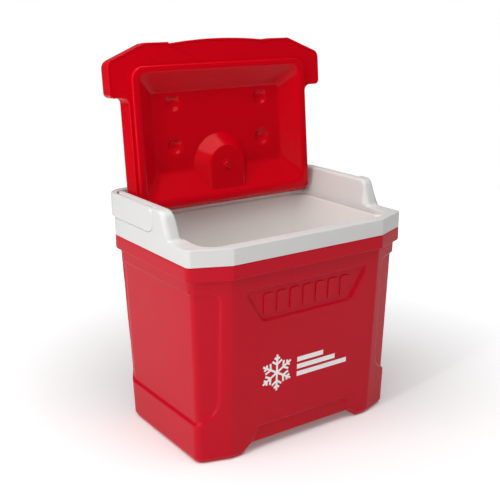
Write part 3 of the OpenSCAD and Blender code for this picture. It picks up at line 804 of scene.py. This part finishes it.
def lid_cover():
    """The cover: its skirt's rounded lower edge, an upright side, a quarter-ellipse shoulder, and
    the dome drawn in to the star point; inside it a plain skin."""
    edge = soft_path([[skirt_t, lid_bottom + 2], [skirt_t - 0.1, lid_bottom], [0, lid_bottom],
                      [0.3, lid_bottom + 9]], [0, 0.4, 2.8, 0], 6)
    side_z = np.linspace(lid_bottom + 10, lid_bottom + side_h, 5)
    rows_z = np.concatenate([edge[:, 1], side_z])
    inset = np.concatenate([edge[:, 0], np.linspace(0.3, 0.6, 5)])
    skirt = lift(lid_ring(inset, rows_z, lid_rear(rows_z) - inset), rows_z)

    turn = np.linspace(0, np.pi / 2, 10)[1:, None]
    inset = 0.6 + shoulder_in * (1 - np.cos(turn[:, 0]))
    shoulder = lid_ring(inset, lid_bottom + 20, hinge_y + barrel_r - inset)
    shoulder = lift(shoulder, side_z[-1] + (crown(shoulder) - side_z[-1]) * np.sin(turn))
    dome = star + (shoulder[-1, :, :2] - star) * np.linspace(1, 0.02, 14)[1:, None, None]
    skin = np.concatenate([skirt, shoulder, lift(dome, crown(dome))])

    inner_z = lid_bottom + np.array([2, side_h, 26.5])
    inner_in = np.array([skirt_t, skirt_t, 11.0])
    rear = lid_rear(inner_z) - [skirt_t, skirt_t, 10]
    inner = lift(lid_ring(inner_in, inner_z, rear), inner_z)
    roof = star + (inner[-1, :, :2] - star) * np.linspace(0.97, 0.02, 3)[:, None, None]
    roof = lift(roof, np.full(3, lid_bottom + 26.9))
    mould = Mould("lid_cover_skin")
    mould.grid(skin, end=True)
    mould.grid(np.concatenate([inner, roof]), end=True)
    return mould.build("lid", red_lid, ["lid_cover"], opened=True)


# ---- Lid pan ----

ridge_half = lid_half - 4
ridge_front = open_front + 4
ridge_rear = open_rear - 2.7
slope_foot = 39             # the pan's sides slope in this far from the ridge's outer face
slope_extra = 9             # and this much further at the rear
dimple_x = 77
dimple_y = [hinge_y - 79, hinge_y - 141]
dimple_depth, dimple_r = 4.6, 19.6      # the radius is that of the pressing sphere
boss_y = hinge_y - 45       # centre of the boss's round end
boss_z = plug_z + 3.5       # its flat face
flange_t = 2.4


def dimple_zones(middles):
    """Stretches about the dimples' middles that need fine steps."""
    return [(middle - 15, middle + 15) for middle in middles]


def pan_ring(rows, x_parts, y_parts, corner=8):
    """Rounded rectangles, one a row: half-width, front, rear and corner radius. Columns start at
    the front left and run round; the parts place them along the straight sides."""
    half, front, rear, radius = np.asarray(rows, float).T
    corners = [pair(-half, front), pair(half, front), pair(half, rear), pair(-half, rear)]
    arcs = [arc(corners[k - 1], corners[k], corners[(k + 1) % 4], radius, corner) for k in range(4)]
    sides = [x_parts, y_parts, 1 - x_parts[::-1], 1 - y_parts[::-1]]
    ring = []
    for k in range(4):
        ring += [arcs[k], line(arcs[k][:, -1], arcs[(k + 1) % 4][:, 0], sides[k])]
    return np.concatenate(ring, axis=1)


def pan_rows(inset, radius):
    """Rectangles of the pan's sides at each distance in from the ridge's outer face."""
    rear = ridge_rear - inset - np.interp(inset, [10, slope_foot], [0, slope_extra])
    return np.stack([ridge_half - inset, ridge_front + inset * 0.97, rear, radius], -1)


def dimple_sink(x, y):
    """Depth of the four dimples: a sphere's height over its chord, with the rim softened as
    s ln(1 + exp(h / s))."""
    soft = 0.6
    sink = np.zeros(x.shape)
    for sign in (-1, 1):
        for middle_y in dimple_y:
            r = np.hypot(x - sign * dimple_x, y - middle_y)
            sphere = np.sqrt(np.maximum(dimple_r ** 2 - r * r, 0)) - (dimple_r - dimple_depth)
            sink = np.maximum(sink, soft * np.logaddexp(0, sphere / soft) * (r < 16))
    return sink


def lid_pan():
    """The pan: a flat flange, a rounded ridge that plugs the rim, sloping sides, and a floor with
    four pressed dimples, each a cap of a sphere with a softened rim."""
    path = soft_path([[0, flange_z + 1.5], [0, plug_z], [10, plug_z], [slope_foot, pan_floor],
                      [slope_foot + 7, pan_floor]], [0, 3.2, 3.6, 5, 0], 8)
    rows = pan_rows(path[:, 0], np.interp(path[:, 0], [0, 10, slope_foot, slope_foot + 7],
                                          [19, 15, 8, 6]))
    floor_half, floor_front, floor_rear, floor_r = rows[-1]
    reach = floor_half - floor_r
    x = spaced(-reach, reach, dimple_zones([-dimple_x, dimple_x]), fine=0.9, coarse=4)
    y_low, y_high = floor_front + floor_r, floor_rear - floor_r
    y = spaced(y_low, y_high, dimple_zones(dimple_y), fine=0.9, coarse=4)
    x_parts = (x[1:-1] + reach) / (2 * reach)
    y_parts = (y[1:-1] - y_low) / (y_high - y_low)
    front_side = lift(pan_ring(rows, x_parts, y_parts), path[:, 1])

    turn = np.linspace(0, np.pi / 2, 9)
    row_y = np.concatenate([y_low - floor_r * np.cos(turn), y[1:-1],
                            y_high + floor_r * np.sin(turn)])
    bulge = np.concatenate([np.sin(turn), np.ones(len(y) - 2), np.cos(turn)])
    xs = x[None, :] * ((reach + floor_r * bulge) / reach)[:, None]
    ys = np.broadcast_to(row_y[:, None], xs.shape)
    floor = np.stack([xs, ys, pan_floor + dimple_sink(xs, ys)], -1)

    back = np.array([[0, flange_z + 1.5], [2.4, flange_z + 3], [10, flange_z + 3.5],
                     [slope_foot, pan_floor + 7.2]])
    back_rows = pan_rows(back[:, 0], np.interp(back[:, 0], [0, slope_foot], [19, 8]))
    back_side = lift(pan_ring(back_rows, x_parts, y_parts), back[:, 1])

    mould = Mould("lid_pan_skin")
    mould.grid(front_side)
    mould.grid(floor, wrap=False)
    mould.grid(back_side, end=True)
    mould.grid(flange_plate())
    mould.grid(arch_boss(), start=True, end=True)
    return mould.build("lid", red_lid, ["lid_pan"], opened=True)


def flange_plate():
    """The flat flange: from the lid's outline in to a rectangle inside the ridge, found on the
    straight line to the star point, and back along its other face."""
    edge = lid_ring(skirt_t, flange_z, lid_rear(flange_z) - skirt_t)[0]
    ray = edge - star
    lap = 4.5                           # how far the flange runs in past the ridge's outer face
    side = (ridge_half - lap) / np.maximum(np.abs(ray[:, 0]), 1e-6)
    end = np.where(ray[:, 1] < 0, ridge_front + lap - star[1], ridge_rear - lap - star[1])
    part = np.minimum(side, end / np.where(np.abs(ray[:, 1]) < 1e-6, 1e-6, ray[:, 1]))
    inner = star + ray * np.minimum(part, 0.999)[:, None]
    ring = np.stack([edge, inner, inner, edge, edge])
    return lift(ring, flange_z + flange_t * np.array([0, 0, 1, 1, 0]))


def arch_boss():
    """The boss at the hinge side: a half circle with straight sides, widening from its flat face to
    its foot, with softened edges."""
    foot_r = 47.5
    path = soft_path([[foot_r + 2.5, pan_floor + 2.5], [foot_r, pan_floor], [29.5, boss_z],
                      [20, boss_z], [8, boss_z]], [0, 1.2, 2.2, 0, 0], 6)
    radius = path[:, 0][:, None]
    turn = np.linspace(np.pi, 2 * np.pi, 49)
    long = 46 - 0.35 * (foot_r - radius)
    arch = pair(radius * np.cos(turn), boss_y + radius * np.sin(turn))
    down = np.linspace(0, 1, 14)[1:]
    right = pair(radius, boss_y + long * down)
    left = pair(-radius, boss_y + long * down[::-1])
    back = pair(radius * np.linspace(1, -1, 14)[1:-1], boss_y + long)
    return lift(np.concatenate([arch, right, back, left], axis=1), path[:, 1])


def foam_port_plug():
    """The round plug pressed into the boss: a shallow dished button inside a thin ring, turned
    about its own axis."""
    profile = soft_path([[8.2, 1.0], [8.2, -0.7], [6.9, -0.7], [6.2, 0.1], [5.2, -1.7], [2.4, -2.0],
                         [0.05, -1.6]], [0, 0.5, 0.5, 0.4, 1.0, 0.8, 0], 5)
    turn = np.linspace(0, 2 * np.pi, 65)[:-1]
    ring = pair(profile[:, :1] * np.cos(turn), boss_y + profile[:, :1] * np.sin(turn))
    mould = Mould("foam_port_button")
    mould.grid(lift(ring, boss_z + profile[:, 1]), start=True, end=True)
    return mould.build("lid", red_lid, ["lid_foam_plug"], opened=True)


# ---- Handle ----

bend_r = 30.0               # outside of the handle's bends
arm_t = 6.4
grip_t = 11

def bail_handle():
    """The handle: a rounded section carried along its arms, bends and grip. The arms' ends are half
    discs about the pivot, where the section's height follows the circle."""
    tall = (handle_high[2] - handle_low[2]) / 2
    out, rear, front = handle_high[0], handle_high[1], handle_low[1]
    bend_x, small = out - bend_r, bend_r - arm_t
    turn = np.linspace(0, np.pi / 2, 22)
    end = tall * (1 - np.cos(np.linspace(0.02, np.pi / 2, 18)))
    arm_y = np.concatenate([front + end, np.linspace(front + tall, rear - bend_r, 16)[1:-1]])
    grip_x = np.linspace(bend_x, 0, 20)[1:]
    outer_bend = pair(bend_x + bend_r * np.cos(turn), rear - bend_r + bend_r * np.sin(turn))
    inner_bend = pair(bend_x + small * np.cos(turn), rear - grip_t - small + small * np.sin(turn))
    outer = np.concatenate([pair(out, arm_y), outer_bend, pair(grip_x, rear)])
    inner = np.concatenate([pair(out - arm_t, arm_y), inner_bend, pair(grip_x, rear - grip_t)])
    height = np.concatenate([np.sqrt(tall ** 2 - (tall - end) ** 2),
                             np.full(len(outer) - len(end), tall)])
    thick = np.linalg.norm(outer - inner, axis=1)
    keys = [pair(thick / 2, height), pair(0 * thick, height), pair(0 * thick, -height),
            pair(thick, -height), pair(thick, height), pair(thick / 2, height)]
    section = soft_path(keys, [0, 2.2, 1.1, 2.0, 2.2, 0], 6)
    part = section[..., :1] / thick[:, None]
    right = outer * (1 - part) + inner * part
    half = np.concatenate([right, section[..., 1:] + pivot_z], -1)
    left = half[:, -2::-1] * np.array([-1.0, 1.0, 1.0])
    loop = np.concatenate([half, left], axis=1).transpose(1, 0, 2)[:, :-1]
    mould = Mould("carry_handle")
    mould.grid(loop, start=True, end=True)
    return mould.build("handle", white_handle, ["bail_handle"])


outer_shell()
rim_collar()
inner_liner()
lid_cover()
lid_pan()
foam_port_plug()
bail_handle()

plain_nodes = {"shell_foam": foam, "lid_foam": foam, "base_foam_plug": red_body,
               "front_emblem": emblem_ink, "lid_hinge_pin_left": white_pin,
               "lid_hinge_pin_right": white_pin, "handle_pin_left": white_pin,
               "handle_pin_right": white_pin}
for node, material in plain_nodes.items():
    mesh = frame["nodes"][node].data
    mesh.materials.clear()
    mesh.materials.append(material)

# ---- Studio ----


def area_light(name, place, size, power, aim=(0, 0, 0.28)):
    """A soft rectangular lamp, in metres and watts, turned towards a point."""
    lamp = bpy.data.lights.new(name, "AREA")
    lamp.shape = "RECTANGLE"
    lamp.size, lamp.size_y = size
    lamp.energy = power
    holder = bpy.data.objects.new(name, lamp)
    bpy.context.scene.collection.objects.link(holder)
    holder.location = place
    holder.rotation_euler = (Vector(aim) - Vector(place)).to_track_quat("-Z", "Y").to_euler()


def studio():
    """A pale floor that glows more towards its edge, an even surround, and soft lamps from the
    left, from above and low down in front."""
    paint = Paint("studio_floor")
    place = paint.node("ShaderNodeTexCoord", {}, {})["Object"]
    away = paint.node("ShaderNodeVectorMath", {"operation": "LENGTH"}, {0: place})["Value"]
    glow = paint.node("ShaderNodeMapRange", {"interpolation_type": "SMOOTHSTEP"}, {
        "Value": away, "From Min": 0.15, "From Max": 1.1, "To Min": 0.15, "To Max": 0.85})[0]
    seen = paint.node("ShaderNodeLightPath", {}, {})["Is Camera Ray"]
    glow = glow * (seen * 0.6 + 0.4)    # the floor lights the cooler less than it shows
    glow_colour = paint.node("ShaderNodeCombineColor", {}, {0: glow, 1: glow, 2: glow})[0]
    floor_material = paint.finish(Base_Color=(0.93, 0.93, 0.93, 1), Roughness=0.9,
                                  Specular_IOR_Level=0.1, Emission_Color=glow_colour,
                                  Emission_Strength=1.0)
    mesh = bpy.data.meshes.new("studio_floor")
    turn = np.linspace(0, 2 * np.pi, 97)[:-1]
    floor_radius = 1.7
    disc = lift(floor_radius * pair(np.cos(turn), np.sin(turn))[None], np.zeros(1))[0]
    mesh.from_pydata(disc.tolist(), [], [list(range(len(disc)))])
    mesh.materials.append(floor_material)
    floor = bpy.data.objects.new("studio_floor", mesh)
    bpy.context.scene.collection.objects.link(floor)
    surround()
    area_light("left_softbox", place=(-1.6, -0.05, 0.8), size=(1.0, 1.4), power=7.6)
    area_light("left_strip", place=(-1.45, -0.45, 0.8), size=(0.07, 1.1), power=4.6)
    area_light("top_softbox", place=(-0.25, -0.38, 1.8), size=(2.0, 1.5), power=27)
    area_light("low_card", place=(-0.62, -0.9, 0.12), size=(0.7, 0.5), power=0.7,
               aim=(0.05, 0.09, 0.45))


def surround():
    """An even surround: pale to the eye, and a dimmer grey in what it lights."""
    world = bpy.data.worlds.new("studio_surround")
    world.use_nodes = True
    tree = world.node_tree
    lit = tree.nodes["Background"]
    lit.inputs["Color"].default_value = (1, 1, 1, 1)
    lit.inputs["Strength"].default_value = 0.12
    seen = tree.nodes.new("ShaderNodeBackground")
    seen.inputs["Color"].default_value = (1, 1, 1, 1)
    seen.inputs["Strength"].default_value = 1.0
    path = tree.nodes.new("ShaderNodeLightPath")
    mix = tree.nodes.new("ShaderNodeMixShader")
    tree.links.new(path.outputs["Is Camera Ray"], mix.inputs[0])
    tree.links.new(lit.outputs[0], mix.inputs[1])
    tree.links.new(seen.outputs[0], mix.inputs[2])
    tree.links.new(mix.outputs[0], tree.nodes["World Output"].inputs["Surface"])
    bpy.context.scene.world = world


def camera():
    """Three-quarter view from the front left, looking a little down."""
    lens = bpy.data.cameras.new("camera")
    lens.sensor_width = 36
    lens.lens = 63.48
    holder = bpy.data.objects.new("camera", lens)
    bpy.context.scene.collection.objects.link(holder)
    place = Vector((-0.71687, -1.00717, 0.61654))
    holder.location = place
    aim = Vector((-0.01905, -0.0067, 0.25675))
    holder.rotation_euler = (aim - place).to_track_quat("-Z", "Y").to_euler()
    bpy.context.scene.camera = holder


studio()
camera()
bpy.context.scene.view_settings.view_transform = "Standard"
